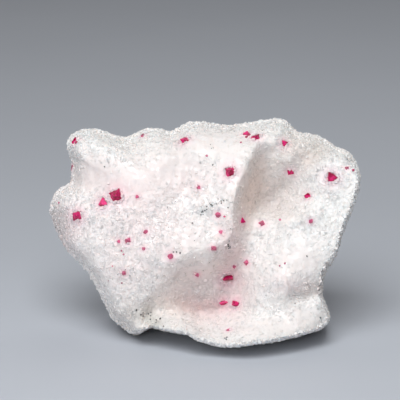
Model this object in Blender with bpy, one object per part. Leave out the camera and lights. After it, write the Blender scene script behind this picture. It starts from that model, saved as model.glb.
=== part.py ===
"""Spinel in marble: a hand-sized block of sugary white marble with red spinel crystals grown in it.

The marble is one solid.  Each spinel crystal is a solid of its own, seated in a pocket of the
marble that has the crystal's own shape.  The block stands on a flat patch of its underside.

The show face is drawn in face coordinates, in mm: across to the right, up, and out towards the
viewer, as they look from VIEW_POINT.  The face leans back by LEAN when the block stands.
"""

import math

import bmesh
import bpy
import numpy as np
from mathutils import Matrix, Vector
from mathutils.bvhtree import BVHTree

MM = 0.001

# Driving dimensions of the block, in mm
LEAN = math.radians(15)  # how far the show face leans back
VIEW_POINT = (-1.5, 10.5, 700.0)  # across, up and out
FRONT_DEPTH = 12.0  # from the rim plane to the top of the rounded edge of the show face
FRONT_DOME = 3.5  # from there to the middle of the show face
BACK_DEPTH = 30.0  # from the rim plane to the middle of the back, before the breaks
BACK_ROUNDING = 0.5
BASE_LEVEL = -28.6  # height of the flat base below the middle of the rim plane
CELLS = 110  # grid cells across the show face, and across the back, before thinning
MARBLE_TRIANGLES = 6600
POCKET_GAP = 0.25  # between a crystal and the marble round it

# The rim, as seen from the front, anticlockwise from the right: across, up, out, and how far in
# from it the show face stays rounded
RIM = [
    # right shoulder, up to the top-right lobe
    (40.5, 2.0, 4, 1.5), (43.0, 8.5, 4, 1.5), (44.8, 14.5, 3, 1.5), (44.8, 19.0, 3, 1.5),
    (43.5, 22.0, 2, 5), (41.5, 24.4, 1, 5), (38.2, 25.6, 0, 6), (35.0, 28.0, -2, 6),
    (31.5, 29.4, -3, 6), (27.5, 29.9, -4, 6),
    # top edge, right to left
    (25.8, 31.2, -5, 6), (23.6, 33.3, -6, 6), (20.8, 34.0, -6, 7), (16.6, 33.5, -6, 7),
    (13.0, 32.9, -6, 7), (6.5, 32.1, -7, 7), (-1.0, 33.0, -8, 7), (-5.5, 32.6, -8, 7),
    (-8.0, 31.0, -8, 7), (-10.3, 30.2, -8, 7), (-13.2, 30.9, -8, 7), (-16.4, 31.2, -8, 7),
    (-19.0, 30.2, -8, 7), (-22.5, 28.7, -7, 7), (-25.5, 28.7, -7, 7), (-28.6, 29.9, -7, 7),
    (-32.2, 30.9, -6, 6), (-35.6, 30.8, -5, 6), (-38.1, 29.8, -5, 4), (-39.7, 27.8, -5, 3.5),
    # the notch between the upper and the lower left lobe
    (-39.8, 25.6, -4, 3.5), (-38.9, 22.8, -4, 4), (-38.7, 19.5, -3, 6), (-39.2, 15.5, -3, 6),
    # lower left lobe
    (-41.8, 13.8, -3, 6), (-43.9, 11.5, -3, 6), (-45.0, 8.2, -3, 7), (-44.2, 4.8, -3, 8),
    (-42.5, 0.3, -3, 7),
    # down to the left foot
    (-39.8, -4.2, -3, 5), (-36.3, -7.6, -3, 4), (-33.1, -11.8, -3, 3.5), (-30.7, -16.2, -3, 3.5),
    (-27.2, -23.4, -3, 4), (-24.3, -26.1, -3, 5), (-21.1, -28.4, -2, 4),
    # the arch, and the bottom ledge
    (-18.8, -27.8, 0, 1.0), (-16.1, -26.4, 2, 1.0), (-12.9, -27.0, 4, 1.0), (-9.0, -27.9, 6, 1.0),
    (-5.5, -28.5, 8, 1.0), (-2.0, -30.2, 10, 1.0), (2.1, -31.5, 11, 1.0), (6.0, -32.2, 11.5, 1.0),
    (10.2, -32.1, 11.5, 1.0), (15.0, -31.3, 10.5, 1.0), (20.0, -30.6, 9, 1.0), (25.0, -29.6, 6.5, 1.0),
    (29.3, -28.4, 4, 1.0), (33.1, -27.2, 1, 1.4), (35.4, -25.5, -1, 1.4), (36.1, -23.4, -1, 1.4),
    # the waist above the ledge's right end
    (35.1, -20.5, 0, 1.5), (33.9, -17.6, 1, 1.5), (33.9, -14.6, 1, 1.5), (34.6, -11.0, 2, 1.5),
    (36.0, -8.2, 3, 1.5), (38.1, -5.2, 4, 1.5),
]

# The scarp: the crest of the great fold and the brow it turns into.  Across, up, how far the
# ground drops on its right and lower side, how far out it recovers, and how wide its wall is
SCARP = [
    (16.0, 31.0, 0.5, 9, 3.0), (15.0, 27.5, 3.0, 10, 3.0), (13.2, 23.4, 9.0, 13, 3.4),
    (11.4, 19.0, 13.0, 15, 5.0), (9.9, 14.9, 15.0, 14.5, 6.0), (8.7, 10.5, 14.0, 13, 5.3),
    (8.2, 6.0, 12.0, 11.5, 4.5), (8.1, 3.0, 10.5, 10.8, 4.1), (7.6, 0.4, 9.5, 11.4, 4.2),
    (6.3, -1.3, 9.5, 14, 5.5), (4.4, -2.3, 9.5, 18, 7.5), (2.0, -2.95, 9.5, 21, 9.0),
    (-3.0, -4.3, 9.5, 28, 11.0), (-7.5, -5.6, 8.5, 28, 10.0), (-11.0, -6.8, 4.5, 22, 8.0),
    (-14.0, -8.0, 0.6, 16, 7.0), (-16.0, -9.0, 0.0, 16, 7.0),
]
SCARP_CREST = (3.5, 7.0)  # how far the ground swells towards the scarp, and over what distance

# Long forms of the show face: path of (across, up) points, half width and rise
FRONT_FOLDS = {
    "ledge": (
        [(-12.0, -26.0), (-4.0, -27.6), (4.0, -29.6), (12.0, -29.6), (22.0, -27.8), (32.0, -25.2)],
        3.8, 1.8,
    ),
    "left leg": ([(-27.0, -10.0), (-24.5, -18.0), (-21.5, -25.5)], 5.0, 1.2),
    "upper trough": ([(33.5, 26.5), (28.0, 20.5), (23.5, 14.5)], 2.8, -1.9),
    "shelf": ([(16.5, 4.6), (23.5, 5.3), (32.0, 7.8)], 2.8, 1.6),
    "step under the shelf": ([(13.0, -0.5), (20.0, 0.6), (31.0, 3.0)], 2.6, -0.3),
    "waist undercut": ([(27.0, -17.6), (35.5, -16.6)], 2.2, -2.4),
}

# Round forms of the show face: across, up, half width, half height, turn in degrees, rise
FRONT_SWELLINGS = {
    "hollow's floor": (0.0, -22.9, 10.5, 4.2, 3, -5.8),
    "hollow's left side": (-11.5, -21.0, 6.0, 5.2, 20, -4.4),
    "hollow's right side": (8.5, -14.5, 4.4, 8.5, 0, -3.8),
    "scoop": (23.5, 14.0, 8.5, 7.0, 35, -4.6),
    "scoop's lower end": (19.0, 8.2, 5.2, 4.0, 20, -5.2),
    "knob in the scoop": (21.8, 17.5, 3.0, 2.8, 0, 1.5),
    "lobe above the scoop": (19.5, 29.0, 5.0, 3.5, 0, 1.5),
    "right bulge": (24.5, -12.0, 8.0, 5.5, 10, 1.8),
    "right belly": (25.0, -11.0, 14.0, 13.0, 0, 2.2),
    "left bulge": (-19.0, -8.0, 12.0, 11.0, 10, 2.2),
    "bay under the upper left lobe": (-35.0, 16.0, 7.0, 6.0, 0, -1.4),
    "crown": (4.0, 25.5, 8.0, 5.0, 0, 1.0),
    "dish below the crown": (-7.0, 15.5, 7.0, 6.5, 0, -1.5),
    "notch by the left foot": (-16.2, -23.0, 2.0, 3.2, 0, -2.0),
}

# Breaks across the back: out at the middle, and how far out it moves per mm across and per mm up
BACK_BREAKS = [
    (-24.0, 0.30, 0.16), (-23.0, -0.34, 0.10), (-25.5, 0.04, -0.30), (-22.0, 0.10, 0.52),
    (-27.5, -0.10, 0.02),
]

# Round forms of the back, drawn in the same way as those of the show face
BACK_SWELLINGS = {
    "lump on the left": (24.0, 8.0, 9.0, 7.0, 30, -2.5),
    "pit beside it": (10.0, 12.0, 5.0, 4.0, -20, 2.0),
    "low shoulder": (-16.0, 10.0, 11.0, 6.0, 20, -2.0),
    "chip below the top": (-2.0, 25.0, 6.0, 3.5, 10, 2.2),
    "hollow near the foot": (6.0, -12.0, 8.0, 5.0, -15, 1.5),
    "lump near the foot": (-20.0, -9.0, 7.0, 6.0, 0, -2.0),
}

# Uneven ground: wavelength and height of the ripples over the show face, and over the rest
FRONT_RIPPLES = [(15.0, 0.20), (6.5, 0.11), (2.8, 0.07)]
BACK_RIPPLES = [(23.0, 0.8), (11.0, 0.4), (4.5, 0.13)]

# How each way of facing out tips a crystal about its drawn-out axis, in degrees; then how far
# its top is from its middle, and how far it stands out of the marble, in edge lengths
FACINGS = {"point": (0.0, 0.707, 0.58), "face": (54.736, 0.408, 0.17), "edge": (90.0, 0.5, 0.26)}

# Spinels on the show face: across, up, edge length, how much longer it is drawn out along one
# edge, which way it faces out, and its turn in degrees
FRONT_SPINELS = [
    (-37.5, 6.0, 2.6, 0.1, "point", 8), (-29.9, 9.9, 2.6, 0.0, "face", 66),
    (-26.1, 11.9, 3.2, 0.2, "point", 27), (-5.9, 28.0, 2.3, 0.4, "edge", -4),
    (7.4, 18.8, 2.7, 0.0, "point", 12), (12.0, 30.0, 1.7, 0.0, "face", 40),
    (15.0, 28.8, 2.3, 0.1, "point", 20), (23.2, 27.3, 1.9, 0.0, "face", 100),
    (25.0, 18.9, 2.0, 0.0, "edge", 55), (37.1, 17.2, 3.1, 0.0, "face", 92),
    (41.6, 19.9, 1.1, 0.0, "point", 10), (30.0, 11.7, 1.4, 0.6, "edge", 0),
    (16.6, 3.7, 1.5, 0.1, "point", 30), (11.0, 4.5, 1.7, 0.0, "face", 60),
    (3.8, 6.3, 1.2, 0.6, "edge", 170), (4.6, 1.3, 1.1, 0.0, "face", 10),
    (2.6, -3.6, 1.3, 0.2, "point", 0), (-1.9, 14.3, 1.1, 0.0, "face", 45),
    (-25.3, -1.5, 1.0, 0.0, "face", 30), (-22.6, -1.3, 1.4, 0.2, "point", 15),
    (-17.4, 1.3, 0.8, 0.7, "edge", 25), (-18.0, -3.6, 1.0, 0.0, "face", 0),
    (-10.1, -5.9, 1.3, 0.5, "edge", 80), (8.6, -8.9, 1.1, 0.0, "face", 0),
    (12.1, -7.7, 1.2, 0.2, "point", 45), (6.4, -12.3, 1.5, 2.6, "point", 2),
    (5.4, -19.4, 1.4, 1.2, "edge", 3), (9.0, -19.8, 1.5, 0.9, "point", -8),
    (-19.9, 11.6, 1.0, 0.0, "face", 80), (-38.0, 27.8, 1.9, 0.4, "face", -50),
    (-18.2, 29.4, 1.5, 0.0, "point", 60), (-38.6, 20.2, 1.7, 0.4, "edge", 70),
    (31.0, 4.4, 1.0, 0.3, "edge", 140), (-2.3, -11.4, 1.2, 0.0, "face", 25),
    (-23.8, -10.8, 1.1, 0.0, "point", 5), (6.9, -27.5, 1.2, 0.0, "face", 35),
]
# Spinels on the back, drawn in the same way
BACK_SPINELS = [
    (24.0, 15.0, 2.6, 0.0, "face", 30), (12.0, 3.0, 1.9, 0.5, "edge", 60),
    (29.0, -6.0, 1.6, 0.0, "point", 10), (-4.0, 18.0, 2.2, 0.0, "face", 95),
    (-20.0, 6.0, 2.8, 0.3, "edge", 20), (-14.0, -8.0, 1.5, 0.0, "face", 50),
    (2.0, 27.0, 1.4, 0.2, "point", 35), (-30.0, 17.0, 1.7, 0.0, "face", 10),
    (16.0, -13.0, 1.3, 0.9, "edge", 110), (-31.0, 1.0, 1.2, 0.0, "point", 75),
    (33.0, 20.0, 1.3, 0.3, "edge", 5), (-9.0, -1.0, 1.1, 0.0, "face", 140),
]
# Spinels round the edge: angle round the rim in degrees, out, edge length, drawn out, facing, turn
EDGE_SPINELS = [
    (12, -6.0, 2.0, 0.0, "face", 40), (52, -7.0, 1.6, 0.3, "edge", 15),
    (99, -14.0, 2.2, 0.0, "point", 25), (133, -13.0, 1.5, 0.0, "face", 70),
    (171, -9.0, 2.1, 0.4, "edge", 35), (207, -12.0, 1.4, 0.0, "face", 5),
    (338, -9.0, 1.5, 0.2, "point", 50),
]

WHITE_MARBLE = (0.86, 0.84, 0.83, 1.0)
SPINEL_RED = (0.62, 0.01, 0.10, 1.0)


def clear_scene():
    for old in list(bpy.data.objects):
        bpy.data.objects.remove(old, do_unlink=True)


def material(name, colour, roughness):
    made = bpy.data.materials.new(name)
    made.use_nodes = True
    shader = made.node_tree.nodes["Principled BSDF"]
    shader.inputs["Base Color"].default_value = colour
    shader.inputs["Roughness"].default_value = roughness
    shader.inputs["Metallic"].default_value = 0.0
    return made


def curve_through(points, closed):
    """The Catmull-Rom curve through the points, as a dense line of points."""
    p = np.array(points, float)
    if not closed:
        p = np.concatenate([[2 * p[0] - p[1]], p, [2 * p[-1] - p[-2]]])
    a, b, c, d = (np.roll(p, shift, 0) for shift in (1, 0, -1, -2))
    if not closed:
        a, b, c, d = (q[1:-2] for q in (a, b, c, d))
    t = np.linspace(0, 1, 12, endpoint=False)[:, None, None]
    line = 0.5 * (
        2 * b + (c - a) * t + (2 * a - 5 * b + 4 * c - d) * t**2 + (3 * b - a - 3 * c + d) * t**3
    )
    line = line.transpose(1, 0, 2).reshape(-1, p.shape[1])
    return line if closed else np.concatenate([line, p[-2:-1]])


def rim_at(angle):
    """The rim's point at each angle round the middle of the show face."""
    line = curve_through([row[:3] for row in RIM], closed=True)
    around = np.arctan2(line[:, 1], line[:, 0])
    order = np.argsort(around)
    return np.stack(
        [np.interp(angle, around[order], line[order, k], period=2 * math.pi) for k in range(3)], -1
    )


def in_from_rim(across, up, radial):
    """Distance to the nearest point of the rim, and that point's width of rounding."""
    line = curve_through(RIM, closed=True)[::3]
    line = np.concatenate([line, line[:1]])
    best, along, distance, _ = nearest_on(line, across, up)
    width = line[best, 3] + along * (line[best + 1, 3] - line[best, 3])
    return np.minimum(distance, radial), width


def disc_grid(cells):
    """A square grid laid on a disc: each point's way out to the rim, 0 to 1, and its angle."""
    s, t = np.meshgrid(*[np.linspace(-1, 1, cells + 1)] * 2, indexing="ij")
    wide = np.abs(s) >= np.abs(t)
    outward = np.where(wide, np.abs(s), np.abs(t))
    with np.errstate(divide="ignore", invalid="ignore"):
        eighth = np.where(wide, t / s, s / t)
    eighth = np.nan_to_num(eighth) * math.pi / 4
    angle = np.where(wide, eighth, math.pi / 2 - eighth)
    behind = np.where(wide, s < 0, t < 0)
    return outward, angle + np.where(behind, math.pi, 0)


def nearest_on(path, across, up):
    """For each place, the nearest stretch of the path: its number, the share along it, the
    distance, and whether the place is on the path's left-hand side."""
    start, run = path[:-1, :2], np.diff(path[:, :2], axis=0)
    gap = np.stack([across, up], -1)[..., None, :] - start
    along = ((gap * run).sum(-1) / (run**2).sum(-1)).clip(0, 1)
    off = gap - along[..., None] * run
    distance = np.sqrt((off**2).sum(-1))
    best = distance.argmin(-1)
    left = run[:, 0] * off[..., 1] - run[:, 1] * off[..., 0]
    pick = [np.take_along_axis(a, best[..., None], -1)[..., 0] for a in (along, distance, left)]
    return best, pick[0], pick[1], pick[2] > 0


def fold(across, up, path, half_width, rise):
    """A long form: rise x exp(-(distance to the path / half width)^2)."""
    distance = nearest_on(curve_through(path, closed=False)[::3], across, up)[2]
    return rise * np.exp(-((distance / half_width) ** 2))


def scarp(across, up):
    """A swelling up to the scarp's crest, and on its low side a drop that recovers further out."""
    line = curve_through(SCARP, closed=False)[::2]
    best, along, distance, low_side = nearest_on(line, across, up)
    drop, reach, wall = (
        line[best, k] + along * (line[best + 1, k] - line[best, k]) for k in (2, 3, 4)
    )
    fall = drop * (1 - np.exp(-((distance / wall) ** 1.4))) * np.exp(-((distance / reach) ** 2))
    swell = SCARP_CREST[0] * drop / max(row[2] for row in SCARP)
    return swell * np.exp(-((distance / SCARP_CREST[1]) ** 2)) - np.where(low_side, fall, 0)


def swelling(across, up, at_across, at_up, half_width, half_height, turn, rise):
    """A round form: rise x exp(-(x / half width)^2 - (y / half height)^2), turned anticlockwise."""
    c, s = math.cos(math.radians(turn)), math.sin(math.radians(turn))
    x, y = across - at_across, up - at_up
    along, over = (x * c + y * s) / half_width, (y * c - x * s) / half_height
    return rise * np.exp(-(along**2) - over**2)


def ripples(points, wavelength, height, seed):
    """Rough ground: a sum of 28 plane waves in random directions."""
    random = np.random.default_rng(seed)
    ways = random.normal(size=(28, 3))
    ways *= 2 * math.pi / wavelength / np.linalg.norm(ways, axis=1, keepdims=True)
    starts = random.uniform(0, 2 * math.pi, 28)
    return height * np.cos(points @ ways.T + starts).sum(-1) / math.sqrt(28 / 2)


def front_sheet(outward, angle):
    """The show face as seen: rounded in from the rim, with the scarp, folds and swellings on it.
    The rounded edge is a quarter of a superellipse as wide as the rim says."""
    rim, share = rim_at(angle), np.sin(outward * math.pi / 2)
    across, up = rim[..., 0] * share, rim[..., 1] * share
    radial = np.hypot(rim[..., 0], rim[..., 1]) * (1 - share)
    inward, width = in_from_rim(across, up, radial)
    rounding = (1 - (1 - (inward / width).clip(0, 1)) ** 2.4) ** (1 / 2.4)
    relief = scarp(across, up)
    relief = relief + sum(fold(across, up, *form) for form in FRONT_FOLDS.values())
    relief = relief + sum(swelling(across, up, *form) for form in FRONT_SWELLINGS.values())
    out = rim[..., 2] * share**5 + FRONT_DEPTH * rounding + FRONT_DOME * (1 - share**2)
    out = out + relief * (1 - outward**8)
    return np.stack([across, up, out], -1)


def back_sheet(outward, angle):
    """The back as seen through from the front: a dome from the rim, cut by the flat breaks, with
    lumps and pits on it."""
    rim, share = rim_at(angle), np.sin(outward * math.pi / 2)
    across, up = rim[..., 0] * share, rim[..., 1] * share
    dome = -BACK_DEPTH * np.cos(outward * math.pi / 2).clip(0) ** BACK_ROUNDING
    for middle, per_across, per_up in BACK_BREAKS:
        dome = np.maximum(dome, middle + per_across * across + per_up * up)
    dome = dome + sum(swelling(across, up, *form) for form in BACK_SWELLINGS.values())
    out = rim[..., 2] * share**5 + np.minimum(dome, 0) * (1 - outward**12)
    return np.stack([across, up, out], -1)


def true_place(seen):
    """Turns points as seen from VIEW_POINT, at their own depth, into true face coordinates."""
    nearer = (1 - seen[..., 2:] / VIEW_POINT[2])
    middle = np.array(VIEW_POINT[:2])
    return np.concatenate([middle + (seen[..., :2] - middle) * nearer, seen[..., 2:]], -1)


def roughened(points, outward, way, sizes):
    """The sheet moved along its normals by the ripples, which fade out towards the rim."""
    normal = np.cross(np.gradient(points, axis=0), np.gradient(points, axis=1)) * way
    normal /= np.linalg.norm(normal, axis=-1, keepdims=True) + 1e-9
    rough = sum(ripples(points, *size, seed) for seed, size in enumerate(sizes, 1))
    return points + normal * (rough * (1 - outward**4))[..., None]


def standing(points):
    """Face coordinates turned into the block's own frame: across is +X, and the face leans back."""
    across, up, out = points[..., 0], points[..., 1], points[..., 2]
    c, s = math.cos(LEAN), math.sin(LEAN)
    return np.stack([across, up * s - out * c, up * c + out * s], -1)


def sheet_faces(cells, flip):
    rows = np.arange((cells + 1) ** 2).reshape(cells + 1, cells + 1)
    quads = np.stack([rows[:-1, :-1], rows[1:, :-1], rows[1:, 1:], rows[:-1, 1:]], -1)
    quads = quads.reshape(-1, 4)
    return quads[:, ::-1] if flip else quads


def thinned(mesh, triangles):
    """The mesh collapsed to about so many triangles."""
    helper = bpy.data.objects.new("helper", mesh)
    bpy.context.scene.collection.objects.link(helper)
    thin = helper.modifiers.new("thin", "DECIMATE")
    thin.ratio = triangles / sum(len(face.vertices) - 2 for face in mesh.polygons)
    graph = bpy.context.evaluated_depsgraph_get()
    made = bpy.data.meshes.new_from_object(helper.evaluated_get(graph))
    bpy.data.objects.remove(helper, do_unlink=True)
    return made


def marble_mesh():
    """The block's surface: show face and back joined at the rim, thinned, with a flat base."""
    outward, angle = disc_grid(CELLS)
    front = roughened(true_place(front_sheet(outward, angle)), outward, 1, FRONT_RIPPLES)
    back = roughened(true_place(back_sheet(outward, angle)), outward, -1, BACK_RIPPLES)
    points = standing(np.concatenate([front.reshape(-1, 3), back.reshape(-1, 3)]))
    faces = np.concatenate([sheet_faces(CELLS, False), sheet_faces(CELLS, True) + (CELLS + 1) ** 2])
    mesh = bpy.data.meshes.new("marble")
    mesh.from_pydata(points.tolist(), [], faces.tolist())
    work = bmesh.new()
    work.from_mesh(mesh)
    bmesh.ops.remove_doubles(work, verts=work.verts, dist=1e-4)
    bmesh.ops.recalc_face_normals(work, faces=work.faces)
    work.to_mesh(mesh)
    work.free()
    mesh = thinned(mesh, MARBLE_TRIANGLES)
    work = bmesh.new()
    work.from_mesh(mesh)
    cut = bmesh.ops.bisect_plane(
        work, geom=work.verts[:] + work.edges[:] + work.faces[:], dist=1e-4,
        plane_co=(0, 0, BASE_LEVEL), plane_no=(0, 0, 1), clear_inner=True,
    )
    border = [item for item in cut["geom_cut"] if isinstance(item, bmesh.types.BMEdge)]
    bmesh.ops.contextual_create(work, geom=border)
    bmesh.ops.triangulate(work, faces=work.faces)
    work.to_mesh(mesh)
    work.free()
    return mesh


def home_of(mesh):
    """Brings the middle of the mesh's bounding box, at its bottom, to the origin, in metres."""
    points = np.array([v.co for v in mesh.vertices])
    low, high = points.min(0), points.max(0)
    middle = Vector(((low[0] + high[0]) / 2, (low[1] + high[1]) / 2, low[2]))
    return Matrix.Scale(MM, 4) @ Matrix.Translation(-middle)


def spinel_mesh(name, edge, drawn):
    """An octahedron of this edge length, drawn out along X by moving its two ends apart."""
    half, tall, ridge = edge / 2, edge / math.sqrt(2), drawn / 2
    work = bmesh.new()
    corners = [(x, y, 0) for x in (-half - ridge, half + ridge) for y in (-half, half)]
    corners += [(x, 0, z) for x in {-ridge, ridge} for z in (-tall, tall)]
    for corner in corners:
        work.verts.new(corner)
    bmesh.ops.convex_hull(work, input=work.verts)
    bmesh.ops.dissolve_limit(work, angle_limit=0.01, verts=work.verts, edges=work.edges)
    bmesh.ops.recalc_face_normals(work, faces=work.faces)
    mesh = bpy.data.meshes.new(name)
    work.to_mesh(mesh)
    work.free()
    return mesh


def seat(place, normal, edge, facing, turn):
    """Where a crystal sits: tipped as it faces, standing out as it should, turned about its top."""
    tip, top, proud = FACINGS[facing]
    level = Vector((0, 0, 1)).cross(normal)
    level = level.normalized() if level.length > 1e-3 else Vector((1, 0, 0))
    axes = Matrix((level, normal.cross(level), normal)).transposed().to_4x4()
    turned = Matrix.Rotation(math.radians(turn), 4, "Z") @ Matrix.Rotation(math.radians(tip), 4, "X")
    return Matrix.Translation(place + normal * edge * (proud - top)) @ axes @ turned


def spinel_places():
    """Name, ray to find the surface by, and the row's size and facing, for every crystal."""
    view = Vector(standing(np.array(VIEW_POINT)))
    for number, (across, up, *rest) in enumerate(FRONT_SPINELS, 1):
        target = Vector(standing(np.array((across, up, 0.0))))
        yield f"spinel_front_{number:02d}", view, target - view, rest
    for number, (across, up, *rest) in enumerate(BACK_SPINELS, 1):
        start = Vector(standing(np.array((across, up, -90.0))))
        yield f"spinel_back_{number:02d}", start, Vector(standing(np.array((0, 0, 1.0)))), rest
    for number, (angle, out, *rest) in enumerate(EDGE_SPINELS, 1):
        a = math.radians(angle)
        start = Vector(standing(np.array((90 * math.cos(a), 90 * math.sin(a), out))))
        middle = Vector(standing(np.array((0.0, 0.0, out))))
        yield f"spinel_edge_{number:02d}", start, middle - start, rest


def add_object(name, mesh, finish):
    made = bpy.data.objects.new(name, mesh)
    mesh.materials.append(finish)
    bpy.context.scene.collection.objects.link(made)
    return made


def main():
    clear_scene()
    white = material("marble", WHITE_MARBLE, 0.5)
    red = material("spinel", SPINEL_RED, 0.15)
    block = marble_mesh()
    corners, faces = [v.co for v in block.vertices], [p.vertices for p in block.polygons]
    surface = BVHTree.FromPolygons(corners, faces)
    home = home_of(block)

    # Each crystal faces half way between straight out of the ground and the way it is seen
    pockets = bmesh.new()
    for name, start, way, (edge, drawn, facing, turn) in spinel_places():
        place, normal, _, _ = surface.ray_cast(start, way.normalized())
        normal = (normal - way.normalized()).normalized()
        spot = home @ seat(place, normal, edge, facing, turn)
        mesh = spinel_mesh(name, edge, drawn)
        pocket = spinel_mesh("pocket", edge + POCKET_GAP / FACINGS["face"][1], drawn)
        pocket.transform(spot)
        pockets.from_mesh(pocket)
        mesh.transform(Matrix.Scale(MM, 4))
        crystal = add_object(name, mesh, red)
        crystal.location = spot.to_translation()
        crystal.rotation_euler = spot.to_euler()

    cutter_mesh = bpy.data.meshes.new("pockets")
    pockets.to_mesh(cutter_mesh)
    pockets.free()
    cutter = add_object("pockets", cutter_mesh, red)
    cutter.hide_render = True
    cutter.display_type = "WIRE"

    block.transform(home)
    block.name = "marble"
    block.shade_smooth()
    marble = add_object("marble", block, white)
    cut = marble.modifiers.new("pockets", "BOOLEAN")
    cut.operation = "DIFFERENCE"
    cut.object = cutter


main()
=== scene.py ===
"""Spinel in marble: the looks of a hand-sized block of sugary white marble with red spinel in it.

Everything is worked out in millimetres and put into the meshes in metres.  The show face is drawn
in face coordinates, as the part is: across to the right, up, and out towards the viewer, as they
look from VIEW_POINT.  The face leans back by LEAN when the block stands.
"""

import math

import bpy
import numpy as np
from mathutils import Matrix, Vector


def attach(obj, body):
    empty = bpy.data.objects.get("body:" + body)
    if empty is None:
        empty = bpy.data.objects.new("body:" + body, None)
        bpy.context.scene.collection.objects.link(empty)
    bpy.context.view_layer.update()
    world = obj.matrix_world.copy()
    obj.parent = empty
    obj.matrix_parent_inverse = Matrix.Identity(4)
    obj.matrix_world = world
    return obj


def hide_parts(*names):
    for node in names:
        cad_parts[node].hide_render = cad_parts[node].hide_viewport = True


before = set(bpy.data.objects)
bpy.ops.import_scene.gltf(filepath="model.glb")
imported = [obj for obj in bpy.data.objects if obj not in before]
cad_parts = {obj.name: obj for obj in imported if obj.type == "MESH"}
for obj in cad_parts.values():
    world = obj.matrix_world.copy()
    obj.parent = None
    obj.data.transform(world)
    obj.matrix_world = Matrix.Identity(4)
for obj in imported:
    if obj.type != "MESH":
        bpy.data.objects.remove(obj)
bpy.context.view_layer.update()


# The marble block.  White calcite marble, broken out of a boulder and etched by weather, so that
# its grains stand up like coarse sugar.  It is one solid and stands on a flat patch underneath.

MM = 0.001
LEAN = math.radians(15)  # of the show face, backwards
VIEW_POINT = np.array([-1.5, 10.5, 700.0])  # across, up and out
FRONT_DEPTH = 12.0  # from the rim plane to the top of the rounded edge of the show face
FRONT_DOME = 3.5  # from there to the middle of the show face
BACK_DEPTH = 30.0  # from the rim plane to the middle of the back, before the breaks
BACK_ROUNDING = 0.5  # power of the dome's cosine
EDGE_POWER = 2.4  # of the superellipse that rounds the show face's edge
BASE_LEVEL = -28.6  # height of the flat base below the middle of the rim plane
FRONT_CELLS = 260  # grid cells across the show face
BACK_CELLS = FRONT_CELLS // 2
GRAIN = 0.72  # width of a marble grain

# The rim as seen from the front, anticlockwise from the right: across, up, out, and how far in
# from it the show face stays rounded
RIM = [
    # right shoulder, up to the top-right lobe
    (40.5, 2.0, 4, 0.8), (43.0, 8.5, 4, 0.8), (44.8, 14.5, 3, 0.8), (44.8, 19.0, 3, 0.8),
    (43.5, 22.0, 2, 5), (41.5, 24.4, 1, 5), (38.2, 25.6, 0, 6), (35.0, 28.0, -2, 6),
    (31.5, 29.4, -3, 6), (27.5, 29.9, -4, 6),
    # top edge, right to left
    (25.8, 31.2, -5, 6), (23.6, 33.3, -6, 6), (20.8, 34.0, -6, 7), (16.6, 33.5, -6, 7),
    (13.0, 32.9, -6, 7), (6.5, 32.1, -7, 7), (-1.0, 33.0, -8, 7), (-5.5, 32.6, -8, 7),
    (-8.0, 31.0, -8, 7), (-10.3, 30.2, -8, 7), (-13.2, 30.9, -8, 7), (-16.4, 31.2, -8, 7),
    (-19.0, 30.2, -8, 7), (-22.5, 28.7, -7, 7), (-25.5, 28.7, -7, 7), (-28.6, 29.9, -7, 7),
    (-32.2, 30.9, -6, 6), (-35.6, 30.8, -5, 6), (-38.1, 29.8, -5, 4), (-39.7, 27.8, -5, 3.5),
    # the notch between the upper and the lower left lobe
    (-39.8, 25.6, -4, 3.5), (-38.9, 22.8, -4, 4), (-38.7, 19.5, -3, 6), (-39.2, 15.5, -3, 6),
    # lower left lobe
    (-41.8, 13.8, -3, 6), (-43.9, 11.5, -3, 6), (-45.0, 8.2, -3, 7), (-44.2, 4.8, -3, 8),
    (-42.5, 0.3, -3, 7),
    # down to the left foot
    (-39.8, -4.2, -3, 5), (-36.3, -7.6, -3, 4), (-33.1, -11.8, -3, 3.5), (-30.7, -16.2, -3, 3.5),
    (-27.2, -23.4, -3, 4), (-24.3, -26.1, -3, 5), (-21.1, -28.4, -2, 4),
    # the arch, and the bottom ledge
    (-18.8, -27.8, 0, 0.5), (-16.1, -26.4, 2, 0.5), (-12.9, -27.0, 4, 0.5), (-9.0, -27.9, 6, 0.5),
    (-5.5, -28.5, 8, 0.5), (-2.0, -30.2, 10, 0.5), (2.1, -31.5, 11, 0.5), (6.0, -32.2, 11.5, 0.5),
    (10.2, -32.1, 11.5, 0.5), (15.0, -31.3, 10.5, 0.5), (20.0, -30.6, 9, 0.5), (25.0, -29.6, 6.5, 0.5),
    (29.3, -28.4, 4, 0.5), (33.1, -27.2, 1, 0.5), (35.4, -25.5, -1, 0.5), (36.1, -23.4, -1, 0.5),
    # the waist above the ledge's right end
    (35.1, -20.5, 0, 0.8), (33.9, -17.6, 1, 0.8), (33.9, -14.6, 1, 0.8), (34.6, -11.0, 2, 0.8),
    (36.0, -8.2, 3, 0.8), (38.1, -5.2, 4, 0.8),
]

# The scarp: the crest of the great fold and the brow it turns into.  Across, up, how far the
# ground drops on its right and lower side, how far out it recovers, and how wide its wall is
SCARP = [
    (16.0, 31.0, 0.5, 9, 3.0), (15.0, 27.5, 3.0, 10, 3.0), (13.2, 23.4, 9.0, 13, 3.4),
    (11.4, 19.0, 13.0, 15, 5.0), (9.9, 14.9, 15.0, 14.5, 6.0), (8.7, 10.5, 14.0, 13, 5.3),
    (8.2, 6.0, 12.0, 11.5, 4.5), (8.1, 3.0, 10.5, 10.8, 4.1), (7.6, 0.4, 9.5, 11.4, 4.2),
    (6.3, -1.3, 9.5, 14, 5.5), (4.4, -2.3, 9.5, 18, 7.5), (2.0, -2.95, 9.5, 21, 9.0),
    (-3.0, -4.3, 9.5, 28, 11.0), (-7.5, -5.6, 8.5, 28, 10.0), (-11.0, -6.8, 4.5, 22, 8.0),
    (-14.0, -8.0, 0.6, 16, 7.0), (-16.0, -9.0, 0.0, 16, 7.0),
]
SCARP_CREST = (3.5, 7.0)  # how far the ground swells towards the scarp, and over what distance

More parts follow.
